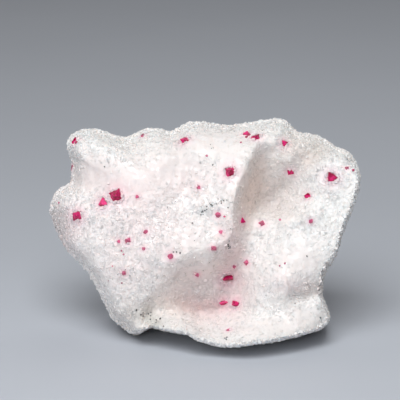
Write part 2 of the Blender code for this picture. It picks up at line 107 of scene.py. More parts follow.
# Long forms of the show face: path of (across, up) points, half width and rise
FRONT_FOLDS = {
    "ledge": (
        [(-12.0, -26.0), (-4.0, -27.6), (4.0, -29.6), (12.0, -29.6), (22.0, -27.8), (32.0, -25.2)],
        3.8, 1.8,
    ),
    "left leg": ([(-27.0, -10.0), (-24.5, -18.0), (-21.5, -25.5)], 5.0, 1.2),
    "upper trough": ([(33.5, 26.5), (28.0, 20.5), (23.5, 14.5)], 2.8, -1.9),
    "shelf": ([(16.5, 4.6), (23.5, 5.3), (32.0, 7.8)], 2.8, 1.6),
    "step under the shelf": ([(13.0, -0.5), (20.0, 0.6), (31.0, 3.0)], 2.6, -0.3),
    "waist undercut": ([(27.0, -17.6), (35.5, -16.6)], 2.2, -2.4),
}

# Round forms of the show face: across, up, half width, half height, turn in degrees, rise
FRONT_SWELLINGS = {
    "hollow's floor": (0.0, -22.9, 10.5, 4.2, 3, -5.8),
    "hollow's left side": (-11.5, -21.0, 6.0, 5.2, 20, -4.4),
    "hollow's right side": (8.5, -14.5, 4.4, 8.5, 0, -3.8),
    "scoop": (23.5, 14.0, 8.5, 7.0, 35, -4.6),
    "scoop's lower end": (19.0, 8.2, 5.2, 4.0, 20, -5.2),
    "knob in the scoop": (21.8, 17.5, 3.0, 2.8, 0, 1.5),
    "lobe above the scoop": (19.5, 29.0, 5.0, 3.5, 0, 1.5),
    "right bulge": (24.5, -12.0, 8.0, 5.5, 10, 1.8),
    "right belly": (25.0, -11.0, 14.0, 13.0, 0, 2.2),
    "left bulge": (-19.0, -8.0, 12.0, 11.0, 10, 2.2),
    "bay under the upper left lobe": (-35.0, 16.0, 7.0, 6.0, 0, -1.4),
    "crown": (4.0, 25.5, 8.0, 5.0, 0, 1.0),
    "dish below the crown": (-7.0, 15.5, 7.0, 6.5, 0, -1.5),
    "notch by the left foot": (-16.2, -23.0, 2.0, 3.2, 0, -2.0),
}

# Breaks across the back: out at the middle, and how far out it moves per mm across and per mm up
BACK_BREAKS = [
    (-24.0, 0.30, 0.16), (-23.0, -0.34, 0.10), (-25.5, 0.04, -0.30), (-22.0, 0.10, 0.52),
    (-27.5, -0.10, 0.02),
]
BACK_SWELLINGS = {
    "lump on the left": (24.0, 8.0, 9.0, 7.0, 30, -2.5),
    "pit beside it": (10.0, 12.0, 5.0, 4.0, -20, 2.0),
    "low shoulder": (-16.0, 10.0, 11.0, 6.0, 20, -2.0),
    "chip below the top": (-2.0, 25.0, 6.0, 3.5, 10, 2.2),
    "hollow near the foot": (6.0, -12.0, 8.0, 5.0, -15, 1.5),
    "lump near the foot": (-20.0, -9.0, 7.0, 6.0, 0, -2.0),
}

# Uneven ground: wavelength and height of the ripples over the show face, and over the rest
FRONT_RIPPLES = [(15.0, 0.20), (6.5, 0.11), (2.8, 0.07)]
BACK_RIPPLES = [(23.0, 0.8), (11.0, 0.4), (4.5, 0.13)]
WAVES = 28  # in each size of ripples

CURVE_STEPS = 12  # steps of a curve from point to point; some uses take every second or third


def curve_through(points, closed):
    """The Catmull-Rom curve through the points, as a dense line of points."""
    p = np.array(points, float)
    if not closed:
        p = np.concatenate([[2 * p[0] - p[1]], p, [2 * p[-1] - p[-2]]])
    a, b, c, d = (np.roll(p, shift, 0) for shift in (1, 0, -1, -2))
    if not closed:
        a, b, c, d = (q[1:-2] for q in (a, b, c, d))
    t = np.linspace(0, 1, CURVE_STEPS, endpoint=False)[:, None, None]
    line = 0.5 * (
        2 * b + (c - a) * t + (2 * a - 5 * b + 4 * c - d) * t**2 + (3 * b - a - 3 * c + d) * t**3
    )
    line = line.transpose(1, 0, 2).reshape(-1, p.shape[1])
    return line if closed else np.concatenate([line, p[-2:-1]])


def nearest_on(path, across, up):
    """For each place, the nearest stretch of the path: its number, the share along it, the
    distance, and whether the place is on the path's left-hand side."""
    best = np.zeros(across.shape, int)
    along, left = np.zeros(across.shape), np.zeros(across.shape)
    nearest = np.full(across.shape, np.inf)
    for number, (start, run) in enumerate(zip(path[:-1, :2], np.diff(path[:, :2], axis=0))):
        x, y = across - start[0], up - start[1]
        share = ((x * run[0] + y * run[1]) / (run @ run)).clip(0, 1)
        x, y = x - share * run[0], y - share * run[1]
        square = x**2 + y**2
        nearer = square < nearest
        best[nearer] = number
        nearest[nearer], along[nearer] = square[nearer], share[nearer]
        left[nearer] = (run[0] * y - run[1] * x)[nearer]
    return best, along, np.sqrt(nearest), left > 0


def rim_at(angle):
    """The rim's point at each angle round the middle of the show face."""
    line = curve_through([row[:3] for row in RIM], closed=True)
    around = np.arctan2(line[:, 1], line[:, 0])
    order = np.argsort(around)
    return np.stack(
        [np.interp(angle, around[order], line[order, k], period=2 * math.pi) for k in range(3)], -1
    )


def in_from_rim(across, up, radial):
    """Distance to the nearest point of the rim, and that point's width of rounding."""
    line = curve_through(RIM, closed=True)[::3]
    line = np.concatenate([line, line[:1]])
    best, along, distance, _ = nearest_on(line, across, up)
    width = line[best, 3] + along * (line[best + 1, 3] - line[best, 3])
    return np.minimum(distance, radial), width


def disc_grid(cells):
    """A square grid laid on a disc: each point's way out to the rim, 0 to 1, and its angle."""
    s, t = np.meshgrid(*[np.linspace(-1, 1, cells + 1)] * 2, indexing="ij")
    wide = np.abs(s) >= np.abs(t)
    outward = np.where(wide, np.abs(s), np.abs(t))
    with np.errstate(divide="ignore", invalid="ignore"):
        eighth = np.where(wide, t / s, s / t)
    eighth = np.nan_to_num(eighth) * math.pi / 4
    angle = np.where(wide, eighth, math.pi / 2 - eighth)
    behind = np.where(wide, s < 0, t < 0)
    return outward, angle + np.where(behind, math.pi, 0)


def fold(across, up, path, half_width, rise):
    """A long form: rise x exp(-(distance to the path / half width)^2)."""
    distance = nearest_on(curve_through(path, closed=False)[::3], across, up)[2]
    return rise * np.exp(-((distance / half_width) ** 2))


def scarp(across, up):
    """The ground swells towards the scarp as exp(-(distance / so far)^2).  On its low side it drops
    by 1 - exp(-(distance / wall)^1.4) and recovers further out as exp(-(distance / reach)^2)."""
    line = curve_through(SCARP, closed=False)[::2]
    best, along, distance, low_side = nearest_on(line, across, up)
    drop, reach, wall = (
        line[best, k] + along * (line[best + 1, k] - line[best, k]) for k in (2, 3, 4)
    )
    fall = drop * (1 - np.exp(-((distance / wall) ** 1.4))) * np.exp(-((distance / reach) ** 2))
    swell = SCARP_CREST[0] * drop / max(row[2] for row in SCARP)
    return swell * np.exp(-((distance / SCARP_CREST[1]) ** 2)) - np.where(low_side, fall, 0)


def swelling(across, up, at_across, at_up, half_width, half_height, turn, rise):
    """A round form: rise x exp(-(x / half width)^2 - (y / half height)^2), turned anticlockwise."""
    c, s = math.cos(math.radians(turn)), math.sin(math.radians(turn))
    x, y = across - at_across, up - at_up
    along, over = (x * c + y * s) / half_width, (y * c - x * s) / half_height
    return rise * np.exp(-(along**2) - over**2)


def ripples(points, wavelength, height, seed):
    """Rough ground: a sum of plane waves, cos(way . point + start), in random directions."""
    random = np.random.default_rng(seed)
    ways = random.normal(size=(WAVES, 3))
    ways *= 2 * math.pi / wavelength / np.linalg.norm(ways, axis=1, keepdims=True)
    starts = random.uniform(0, 2 * math.pi, WAVES)
    return height * np.cos(points @ ways.T + starts).sum(-1) / math.sqrt(WAVES / 2)


def front_sheet(outward, angle):
    """The show face as seen, where the share of the way out to the rim is sin(outward x pi / 2):
    out = rim's out x share^5 + FRONT_DEPTH x rounding + FRONT_DOME x (1 - share^2)
    + relief x (1 - outward^8).  The rounding is a quarter of a superellipse, as wide as the rim
    says.  The relief is the scarp, the folds and the swellings."""
    rim, share = rim_at(angle), np.sin(outward * math.pi / 2)
    across, up = rim[..., 0] * share, rim[..., 1] * share
    radial = np.hypot(rim[..., 0], rim[..., 1]) * (1 - share)
    inward, width = in_from_rim(across, up, radial)
    rounding = (1 - (1 - (inward / width).clip(0, 1)) ** EDGE_POWER) ** (1 / EDGE_POWER)
    relief = scarp(across, up)
    relief = relief + sum(fold(across, up, *form) for form in FRONT_FOLDS.values())
    relief = relief + sum(swelling(across, up, *form) for form in FRONT_SWELLINGS.values())
    out = rim[..., 2] * share**5 + FRONT_DEPTH * rounding + FRONT_DOME * (1 - share**2)
    out = out + relief * (1 - outward**8)
    return np.stack([across, up, out], -1)


def back_sheet(outward, angle):
    """The back as seen through from the front, with the same share: out = rim's out x share^5
    + dome x (1 - outward^12).  The dome, -BACK_DEPTH x cos(outward x pi / 2)^BACK_ROUNDING, is
    cut by the flat breaks and has lumps and pits on it."""
    rim, share = rim_at(angle), np.sin(outward * math.pi / 2)
    across, up = rim[..., 0] * share, rim[..., 1] * share
    dome = -BACK_DEPTH * np.cos(outward * math.pi / 2).clip(0) ** BACK_ROUNDING
    for middle, per_across, per_up in BACK_BREAKS:
        dome = np.maximum(dome, middle + per_across * across + per_up * up)
    dome = dome + sum(swelling(across, up, *form) for form in BACK_SWELLINGS.values())
    out = rim[..., 2] * share**5 + np.minimum(dome, 0) * (1 - outward**12)
    return np.stack([across, up, out], -1)


def true_place(seen):
    """Turns points as seen from VIEW_POINT, at their own depth, into true face coordinates."""
    nearer = 1 - seen[..., 2:] / VIEW_POINT[2]
    middle = VIEW_POINT[:2]
    return np.concatenate([middle + (seen[..., :2] - middle) * nearer, seen[..., 2:]], -1)


def roughened(points, outward, way, sizes):
    """The sheet moved along its normals by the ripples, which fade out towards the rim."""
    normal = np.cross(np.gradient(points, axis=0), np.gradient(points, axis=1)) * way
    normal /= np.linalg.norm(normal, axis=-1, keepdims=True) + 1e-9
    rough = sum(ripples(points, *size, seed) for seed, size in enumerate(sizes, 1))
    return points + normal * (rough * (1 - outward**4))[..., None]


def standing(points):
    """Face coordinates turned into the block's own frame: across is +X, and the face leans back."""
    across, up, out = points[..., 0], points[..., 1], points[..., 2]
    c, s = math.cos(LEAN), math.sin(LEAN)
    return np.stack([across, up * s - out * c, up * c + out * s], -1)


def grid_quads(cells):
    """A grid's four-sided faces, by the numbers of their points."""
    rows = np.arange((cells + 1) ** 2).reshape(cells + 1, cells + 1)
    quads = np.stack([rows[:-1, :-1], rows[1:, :-1], rows[1:, 1:], rows[:-1, 1:]], -1)
    return quads.reshape(-1, 4)


def border(cells):
    """The numbers of a grid's border points, in order round it."""
    rows = np.arange((cells + 1) ** 2).reshape(cells + 1, cells + 1)
    return np.concatenate([rows[:-1, 0], rows[-1, :-1], rows[:0:-1, -1], rows[0, :0:-1]])


def add_mesh(name, points, faces, smooth):
    """A new object with these points, in millimetres, and faces."""
    made = bpy.data.meshes.new(name)
    made.vertices.add(len(points))
    made.vertices.foreach_set("co", (points * MM).astype(np.float32).ravel())
    sizes = np.concatenate([np.full(len(group), group.shape[1]) for group in faces])
    corners = np.concatenate([group.ravel() for group in faces])
    made.loops.add(len(corners))
    made.loops.foreach_set("vertex_index", corners.astype(np.int32))
    made.polygons.add(len(sizes))
    made.polygons.foreach_set("loop_start", (np.cumsum(sizes) - sizes).astype(np.int32))
    made.polygons.foreach_set("use_smooth", np.full(len(sizes), smooth))
    made.update(calc_edges=True)
    made.validate()
    placed = bpy.data.objects.new(name, made)
    bpy.context.scene.collection.objects.link(placed)
    return placed


CELLS_REPEAT = 48  # cubes along each side before the random cells repeat


def cells_round(points, size, seed):
    """For each point, the way from the nearest of the cells' scattered middles, and that cell's
    three random numbers.  There is one middle in each cube of this size."""
    scatter = np.random.default_rng(seed).random((CELLS_REPEAT, CELLS_REPEAT, CELLS_REPEAT, 6))
    cube = np.floor(points / size).astype(int)
    nearest = np.full(len(points), np.inf)
    way, numbers = np.zeros((len(points), 3)), np.zeros((len(points), 3))
    for step in np.ndindex(3, 3, 3):
        other = cube + np.array(step) - 1
        drawn = scatter[tuple((other % CELLS_REPEAT).T)]
        gap = points - (other + drawn[:, :3]) * size
        square = (gap**2).sum(1)
        nearer = square < nearest
        nearest[nearer], way[nearer], numbers[nearer] = square[nearer], gap[nearer], drawn[nearer, 3:]
    return way, numbers


# Smooth places of the show face, where the grains are bound: across, up, half width, half
# height, turn in degrees, strength
SMOOTH = [
    (-8.0, 20.5, 12.0, 8.0, 0, 1.0), (-4.0, -0.5, 8.0, 4.0, 20, 1.0), (14.0, 14.0, 3.5, 10.0, -20, 0.9),
    (-2.0, -10.0, 8.0, 4.0, 0, 1.0), (3.0, 28.0, 8.0, 4.0, 0, 1.0), (22.0, -8.0, 9.0, 6.0, 0, 0.8),
    (8.0, 20.0, 4.5, 10.0, -15, 0.8), (-23.5, 16.0, 10.0, 6.5, 0, 0.9), (24.0, 6.0, 8.0, 3.0, 10, 0.4),
    (14.0, -27.5, 14.0, 3.0, 0, 0.9), (29.0, -24.0, 7.0, 4.0, 10, 0.7), (30.0, -4.5, 6.0, 6.0, 0, 0.7),
    (-34.0, 18.5, 6.0, 5.0, 0, 0.8),
]

# Rough places, where the grains stand further out, written the same way
ROUGH = [
    (32.5, 25.0, 6.5, 3.5, -35, 1.0), (31.5, -14.5, 5.0, 3.0, 0, 1.0), (8.5, -7.0, 3.0, 4.5, 0, 0.8),
    (-24.0, -22.0, 4.0, 5.0, 20, 0.6), (-38.0, 6.0, 6.0, 6.0, 0, 0.3), (26.5, 10.0, 5.0, 3.0, 30, 0.5),
]
SHOW_FACE_ENDS = -6  # out from the rim plane; nothing behind it is stained or smooth


def face_place(points):
    """Block coordinates turned back into face coordinates as seen from VIEW_POINT, and out."""
    p = points - home
    c, s = math.cos(LEAN), math.sin(LEAN)
    out = p[:, 2] * s - p[:, 1] * c
    true = np.stack([p[:, 0], p[:, 1] * s + p[:, 2] * c], -1)
    nearer = 1 - out[:, None] / VIEW_POINT[2]
    return (true - VIEW_POINT[:2]) / nearer + VIEW_POINT[:2], out


def amount_of(places, points):
    """How much of these places of the show face each point has, from 0 to 1."""
    seen, out = face_place(points)
    found = sum(swelling(seen[:, 0], seen[:, 1], *place) for place in places)
    return found.clip(0, 1) * (out > SHOW_FACE_ENDS)


# Grains in the skin itself, single ones and clumps: width, seed, greatest slope, height of the
# steps between them, and which of their random numbers gives it
SKIN_GRAINS = [(GRAIN, 7, 0.15, 0.08, 0), (GRAIN * 2, 11, 0.09, 0.05, 1)]


def graininess(points, normals):
    """How far the grains lift the surface: each is a small plane, tilted and raised at random.
    They nearly vanish in smooth places and are more than twice as high in rough ones."""
    lift = 0
    for width, seed, slope, step, which in SKIN_GRAINS:
        way, numbers = cells_round(points, width, seed)
        flat = way - (way * normals).sum(1, keepdims=True) * normals
        lift = lift + slope * (flat * (numbers * 2 - 1)).sum(1) + step * (numbers[:, which] - 0.5)
    return lift * (1.05 - 0.95 * amount_of(SMOOTH, points) + 1.2 * amount_of(ROUGH, points))


# The spinel crystals' middles and reaches: the marble is smoother and pinker round them
spinel_nodes = sorted(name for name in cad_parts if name.startswith("spinel"))
spinel_middles, spinel_reach = [], []
for name in spinel_nodes:
    corners = np.array([v.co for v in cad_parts[name].data.vertices]) / MM
    spinel_middles.append((corners.min(0) + corners.max(0)) / 2)
    spinel_reach.append(np.linalg.norm(corners - spinel_middles[-1], axis=1).max())

CALM_REACHES = 1.3  # how far the skin is calm round a crystal, in the crystal's reaches
HALO = 0.5, 1.35  # strength of the pink halo round a crystal, and its width in reaches


def nearness(points, reaches):
    """How near each point is to a crystal: exp(-(distance / so many of its reaches)^2)."""
    found = np.zeros(len(points))
    for middle, reach in zip(spinel_middles, spinel_reach):
        distance = np.linalg.norm(points - middle, axis=1)
        found = np.maximum(found, np.exp(-((distance / (reach * reaches)) ** 2)))
    return found


outward, angle = disc_grid(FRONT_CELLS)
front = roughened(true_place(front_sheet(outward, angle)), outward, 1, FRONT_RIPPLES)
back_outward, angle = disc_grid(BACK_CELLS)
back = roughened(true_place(back_sheet(back_outward, angle)), back_outward, -1, BACK_RIPPLES)
front, back = front.reshape(-1, 3), back.reshape(-1, 3)

# The back's border points are every second one of the front's, and a sliver closes each gap
ring, half_ring = border(FRONT_CELLS), border(BACK_CELLS)
inner = np.setdiff1d(np.arange(len(back)), half_ring)
skin_number = np.zeros(len(back), int)  # of each point of the back
skin_number[half_ring] = ring[::2]
skin_number[inner] = len(front) + np.arange(len(inner))
skin_points = standing(np.concatenate([front, back[inner]]))
low, high = skin_points.min(0), skin_points.max(0)
home = np.array([-(low[0] + high[0]) / 2, -(low[1] + high[1]) / 2, -BASE_LEVEL])
skin_points = skin_points + home
front_quads = grid_quads(FRONT_CELLS)
back_quads = skin_number[grid_quads(BACK_CELLS)][:, ::-1]
slivers = np.stack([np.roll(ring[::2], -1), ring[1::2], ring[::2]], -1)
skin = add_mesh("marble_skin", skin_points, [front_quads, back_quads, slivers], True)
normals = np.zeros(len(skin_points) * 3, np.float32)
skin.data.vertices.foreach_get("normal", normals)
normals = normals.reshape(-1, 3).astype(float)
lift = graininess(skin_points, normals) * (1 - nearness(skin_points, CALM_REACHES))
skin_points = skin_points + normals * lift[:, None]
skin_points[:, 2] = skin_points[:, 2].clip(0)
skin.data.vertices.foreach_set("co", (skin_points * MM).astype(np.float32).ravel())
skin.data.update()


class Value:
    """A socket of a material's nodes.  Arithmetic on it adds Math nodes."""

    def __init__(self, finish, socket):
        self.finish, self.socket = finish, socket

    def maths(self, operation, one, other):
        inputs = {0: one, 1: other}
        return self.finish.node("ShaderNodeMath", {"operation": operation}, inputs)[0]

    def __add__(self, other):
        return self.maths("ADD", self, other)

    def __rsub__(self, other):
        return self.maths("SUBTRACT", other, self)

    def __mul__(self, other):
        return self.maths("MULTIPLY", self, other)

    def above(self, low, high):
        """0 below low, 1 above high, and a straight rise between."""
        return self.finish.node(
            "ShaderNodeMapRange", {"clamp": True}, {"Value": self, "From Min": low, "From Max": high}
        )["Result"]


class Finish:
    """A material, its nodes and the place where its pattern is read."""

    def __init__(self, name):
        self.material = bpy.data.materials.new(name)
        self.material.use_nodes = True
        self.tree = self.material.node_tree
        self.tree.nodes.clear()
        self.place = self.node("ShaderNodeTexCoord", {}, {})["Object"]

    def node(self, kind, settings, inputs):
        """Adds a node: its settings first, then the values or links of its sockets.  Returns its
        outputs by name and by number."""
        made = self.tree.nodes.new(kind)
        for name, setting in settings.items():
            setattr(made, name, setting)
        for name, value in inputs.items():
            if isinstance(value, Value):
                self.tree.links.new(value.socket, made.inputs[name])
            else:
                made.inputs[name].default_value = value
        outputs = {s.name: Value(self, s) for s in made.outputs if s.enabled}
        outputs.update(enumerate(Value(self, s) for s in made.outputs))
        return outputs

    def attribute(self, name):
        """The number that each point of the mesh has under this name."""
        return self.node("ShaderNodeAttribute", {"attribute_name": name}, {})["Fac"]

    def noise(self, width):
        """Soft noise with blotches of this width."""
        inputs = {"Vector": self.place, "Scale": 1 / (width * MM), "Detail": 2.0}
        return self.node("ShaderNodeTexNoise", {}, inputs)["Fac"]

    def cells(self, width):
        """Random cells of this width: the distance from a cell's middle, and its random numbers
        as a colour's red, green and blue."""
        cells = self.node(
            "ShaderNodeTexVoronoi", {"feature": "F1"}, {"Vector": self.place, "Scale": 1 / (width * MM)}
        )
        return cells["Distance"], self.node("ShaderNodeSeparateColor", {}, {"Color": cells["Color"]})

    def mix(self, share, one, other):
        """From one colour to the other, by the share."""
        return self.node("ShaderNodeMix", {"data_type": "RGBA"}, {0: share, 6: one, 7: other})[2]

    def surface(self, inputs):
        """Closes the material with a surface that has these inputs."""
        shader = self.node("ShaderNodeBsdfPrincipled", {}, inputs)["BSDF"]
        self.node("ShaderNodeOutputMaterial", {}, {"Surface": shader})
        return self.material


# Colours of the marble: its ground, its blotches, and the tints of its grains and smooth places
MARBLE_GROUND = (0.95, 0.912, 0.885, 1)
MARBLE_BLOTCH = (0.965, 0.94, 0.92, 1)
MARBLE_GRAIN = (0.86, 0.79, 0.78, 1)
MARBLE_SMOOTH = (0.80, 0.76, 0.75, 1)
GRAIN_TINTED = 0.2  # the most that a grain takes of its tint
SMOOTH_TINTED = 0.7  # the most that a smooth place takes of its tint
MARKS_LOST = 0.9  # share of the grains' tint and bumps that a smooth place loses
BLOTCH_WIDTH = 9.0
DULL, GLINTING = 0.55, 0.2  # roughness of the surface, and of grains that glint

# Colours of the stains and of the painted shade in the hollows, laid over each other in this order
STAIN_AND_SHADE_COLOURS = {
    "warm_shade": (0.78, 0.62, 0.53, 1), "blush_and_shade": (0.90, 0.67, 0.68, 1), "painted_shade": (0.64, 0.59, 0.58, 1),
    "halo": (0.92, 0.45, 0.58, 1), "dirt": (0.42, 0.43, 0.38, 1),
}


def marble_finish(name, depth):
    """White marble that light enters to this depth, in metres.  Its grains differ a little in
    tone, and about a quarter of them glint.  They show less in smooth places."""
    finish = Finish(name)
    height, tone = finish.cells(GRAIN)
    smooth = finish.attribute("smooth")
    rough = 1 - smooth * MARKS_LOST
    blotches = finish.noise(BLOTCH_WIDTH).above(0.3, 0.7)
    colour = finish.mix(blotches, MARBLE_GROUND, MARBLE_BLOTCH)
    colour = finish.mix(tone["Red"] * rough * GRAIN_TINTED, colour, MARBLE_GRAIN)
    colour = finish.mix(smooth * SMOOTH_TINTED, colour, MARBLE_SMOOTH)
    # the stains, among them painted shade in the hollows and along the left edge
    for stained_or_shaded, stain_or_shade_colour in STAIN_AND_SHADE_COLOURS.items():
        colour = finish.mix(finish.attribute(stained_or_shaded), colour, stain_or_shade_colour)
    glint = tone["Green"].above(0.75, 0.8)
    bump = {"Strength": 0.3, "Distance": 0.00015, "Height": height * rough}
    return finish.surface({
        "Base Color": colour, "Roughness": DULL - glint * (DULL - GLINTING), "IOR": 1.55,
        "Normal": finish.node("ShaderNodeBump", {}, bump)["Normal"], "Subsurface Weight": 0.85,
        "Subsurface Radius": (1.0, 0.9, 0.85), "Subsurface Scale": depth,
    })


# Stained places and places of painted shade on the show face: across, up, half width, half height, turn
# in degrees, strength
STAINS_AND_SHADE = {
    # painted shade, warm-tinted: in the hollow, down the wall below the crest, in the scoop and the upper
    # trough, under the right belly and on the left foot
    "warm_shade": [
        (13.0, 12.0, 3.5, 12.0, -15, 0.75), (7.0, -9.0, 4.5, 8.0, -10, 0.45),
        (-22.0, -23.0, 6.0, 5.0, 0, 0.25), (19.5, 13.0, 4.5, 6.5, 10, 0.35),
        (-3.0, -15.0, 9.0, 6.5, 0, 0.6), (25.5, 25.5, 5.0, 4.0, 0, 0.4),
        (31.0, 23.0, 3.0, 5.0, -40, 0.35), (31.5, -15.2, 4.5, 2.5, 0, 0.35),
        (-8.0, -20.0, 8.0, 4.0, 0, 0.35),
    ],
    # partly the marble's own pink tint, partly painted shade: strongest in the hollow and down the valley
    # below the fold, and on the left edge and in the dish below the crown
    "blush_and_shade": [
        (-19.0, 4.0, 15.0, 13.0, 0, 0.4), (-25.0, -11.0, 8.0, 9.0, 30, 0.25),
        (-41.0, 2.0, 6.0, 9.0, 0, 0.45), (2.0, -17.5, 9.0, 5.5, 0, 1.3),
        (8.0, -4.0, 4.5, 10.0, -5, 0.6), (-33.0, 18.0, 8.0, 6.0, 0, 0.1),
        (25.0, -14.5, 8.0, 3.0, 0, 0.3), (-3.0, 15.0, 8.0, 5.0, 0, 0.2),
    ],
    # painted shade: darker in the hollow, the scoop, the upper trough, the bay under the upper left lobe
    # and along the left edge, and dimmer on the smooth places where the light falls brightest
    "painted_shade": [
        (20.5, 11.5, 6.0, 6.5, 25, 0.7), (0.0, -15.5, 11.0, 6.0, 0, 0.85),
        (29.0, 23.5, 4.5, 5.0, -40, 0.4), (8.5, -11.0, 4.0, 5.0, 0, 0.3),
        (-8.0, 20.0, 9.0, 7.0, 0, 0.33), (-4.0, -0.5, 8.0, 4.0, 20, 0.1),
        (-23.5, 16.0, 10.0, 6.5, 0, 0.12), (-34.0, 18.5, 6.0, 5.0, 0, 0.4),
        (24.5, -8.0, 8.0, 6.0, 0, 0.15), (22.0, -19.5, 8.0, 3.0, 0, 0.15),
        (-44.0, 1.5, 3.5, 7.0, 0, 0.9),
    ],
    "dirt": [
        (-17.0, -23.5, 5.0, 3.0, -15, 0.35), (33.0, 25.5, 4.0, 2.5, -40, 0.25),
        (-14.5, -26.0, 2.5, 1.5, 0, 0.3),
    ],
}


def stain_and_shade(piece, points):
    """Writes how much of each stain and of the painted shade the piece's points have, how smooth the
    marble is there, and the pink halo round the crystals."""
    amounts = {name: amount_of(places, points) for name, places in STAINS_AND_SHADE.items()}
    amounts["smooth"] = amount_of(SMOOTH, points)
    amounts["halo"] = HALO[0] * nearness(points, HALO[1])
    for name, amount in amounts.items():
        written = piece.data.attributes.new(name, "FLOAT", "POINT")
        written.data.foreach_set("value", amount.astype(np.float32))


stain_and_shade(skin, skin_points)
skin.data.materials.append(marble_finish("marble", 0.0011))
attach(skin, "root")
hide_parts("marble")


# The grains: crystals of calcite that stand out of the marble's surface, each a skewed block
# with flat faces.  Most lie nearly along the surface with their lower part sunk in it.  They
# stand up more round the rim, and some lap over the spinel crystals.

CALCITE_EDGE_SLANT = 0.443  # cosine of the angle between a calcite edge and the crystal's axis
LEAST_HEIGHT = 0.6  # above the floor, for the place of a grain
RIM_STARTS = 0.88, 0.9  # way out to the rim, from 0 to 1, on the show face and on the back
LAPPED = 0.34, 0.66  # nearness to a crystal where grains lap over it: 1 / e is at its corners
EDGE_LENGTHS = 0.7, 1.2  # least and greatest, in the grain's size
SUNK_LESS = 0.3  # the most by which a grain is sunk less than others, in its size
SMOOTH_LOSS = 0.97  # share of the grains that a smooth place loses
CRYSTAL_LOSS = 1.5, 0.9  # the same by a crystal's middle, and how wide it is in reaches

# Pieces: name, the faces their grains are on, how many, seed, least and greatest size, tilt, the
# share of their size that they are sunk by, and 1 where they keep off smooth places and crystals
GRAINS = [
    ("marble_grains_front", "front", 15000, 21, 0.4, 0.8, 0.2, 0.42, 1),
    ("marble_fine_grains_front", "front", 14000, 23, 0.25, 0.4, 0.3, 0.4, 1),
    ("marble_grains_edge", "rim", 13000, 24, 0.45, 0.95, 0.65, 0.18, 1),
    ("marble_grains_back", "back", 16000, 22, 0.4, 0.85, 0.3, 0.42, 1),
    ("marble_grains_lapping", "round crystals", 420, 25, 0.4, 0.8, 0.3, 0.06, 0),
]


def halves(quads):
    """Each four-sided face cut into two triangles."""
    return np.concatenate([quads[:, :3], quads[:, [0, 2, 3]]])


def within(faces, chosen):
    """The faces whose points are all chosen."""
    return faces[chosen[faces].all(1)]


def scattered(faces, count, seed):
    """Random places on these faces of the skin, even by area: the points, their normals, and the
    generator for what else is random there."""
    random = np.random.default_rng(seed)
    a, b, c = (skin_points[faces[:, k]] for k in range(3))
    area = np.linalg.norm(np.cross(b - a, c - a), axis=1)
    pick = random.choice(len(faces), count, p=area / area.sum())
    u, v = random.random((2, count, 1))
    beyond = u + v > 1
    u, v = np.where(beyond, 1 - u, u), np.where(beyond, 1 - v, v)
    points = a[pick] + u * (b - a)[pick] + v * (c - a)[pick]
    upward = sum(normals[faces[pick, k]] for k in range(3))
    return points, upward / np.linalg.norm(upward, axis=1, keepdims=True), random


def lying(normals, tilt, random):
    """Turns that lay a shape's top along these normals, tilted by about this much, any way round."""
    third = normals + random.normal(size=normals.shape) * tilt
    third /= np.linalg.norm(third, axis=1, keepdims=True)
    first = np.cross(third, random.normal(size=third.shape))
    first /= np.linalg.norm(first, axis=1, keepdims=True)
    return np.stack([first, np.cross(third, first), third], -1)


def calcite_edges():
    """The three edge directions of a calcite block that stands on one of its faces."""
    around = np.arange(3) * 2 * math.pi / 3
    flat = math.sqrt(1 - CALCITE_EDGE_SLANT**2)
    edges = np.stack([flat * np.cos(around), flat * np.sin(around), np.full(3, CALCITE_EDGE_SLANT)], -1)
    up = np.cross(edges[0], edges[1])
    up /= np.linalg.norm(up)
    return edges @ np.stack([edges[0], np.cross(up, edges[0]), up], -1)


def grain_piece(name, faces, count, seed, smallest, largest, tilt, sunk, kept_off):
    """Grains on these faces of the skin.  A grain's corners are its middle plus or minus half of
    each of its three edges."""
    points, upward, random = scattered(faces, count, seed)
    by_crystals = nearness(points, CRYSTAL_LOSS[1]) * CRYSTAL_LOSS[0]
    lost = kept_off * np.maximum(amount_of(SMOOTH, points) * SMOOTH_LOSS, by_crystals)
    keep = (points[:, 2] > LEAST_HEIGHT) & (random.random(count) > lost)
    points, upward = points[keep], upward[keep]
    count = len(points)
    sizes = random.uniform(smallest, largest, (count, 1))
    lengths = sizes[:, None] * random.uniform(*EDGE_LENGTHS, (count, 3, 1))
    edges = np.einsum("nij,kj->nki", lying(upward, tilt, random), calcite_edges()) * lengths
    halfway = np.array([(x, y, z) for z in (-1, 1) for y in (-1, 1) for x in (-1, 1)]) / 2
    sunk = sizes * (sunk - SUNK_LESS * random.random((count, 1)) ** 4)
    corners = np.einsum("sk,nkj->nsj", halfway, edges) + (points - upward * sunk)[:, None]
    quads = np.array([(0, 2, 3, 1), (4, 5, 7, 6), (0, 1, 5, 4), (2, 6, 7, 3), (0, 4, 6, 2), (1, 3, 7, 5)])
    quads = (quads + np.arange(count)[:, None, None] * 8).reshape(-1, 4)
    corners[..., 2] = corners[..., 2].clip(0)
    piece = add_mesh(name, corners.reshape(-1, 3), [quads], False)
    stain_and_shade(piece, corners.reshape(-1, 3))
    piece.data.materials.append(grain_marble)
    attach(piece, "root")


grain_marble = marble_finish("marble_grain", 0.00028)
front_faces, back_faces = halves(front_quads), halves(back_quads)
way_out = np.concatenate([outward.ravel(), back_outward.ravel()[inner]])
front_rim = within(front_faces, way_out > RIM_STARTS[0])
back_rim = within(back_faces, way_out > RIM_STARTS[1])
near = nearness(skin_points, 1.0)
grain_faces = {
    "front": front_faces, "back": back_faces, "rim": np.concatenate([front_rim, back_rim]),
    "round crystals": within(front_faces, (near > LAPPED[0]) & (near < LAPPED[1])),
}
for name, place, *numbers in GRAINS:
    grain_piece(name, grain_faces[place], *numbers)


# Spinel crystals: red octahedra with flat faces, harder than glass.  They grew in the marble, and
# it holds them all round.  The part's own solids stand for them and only get their colour here.

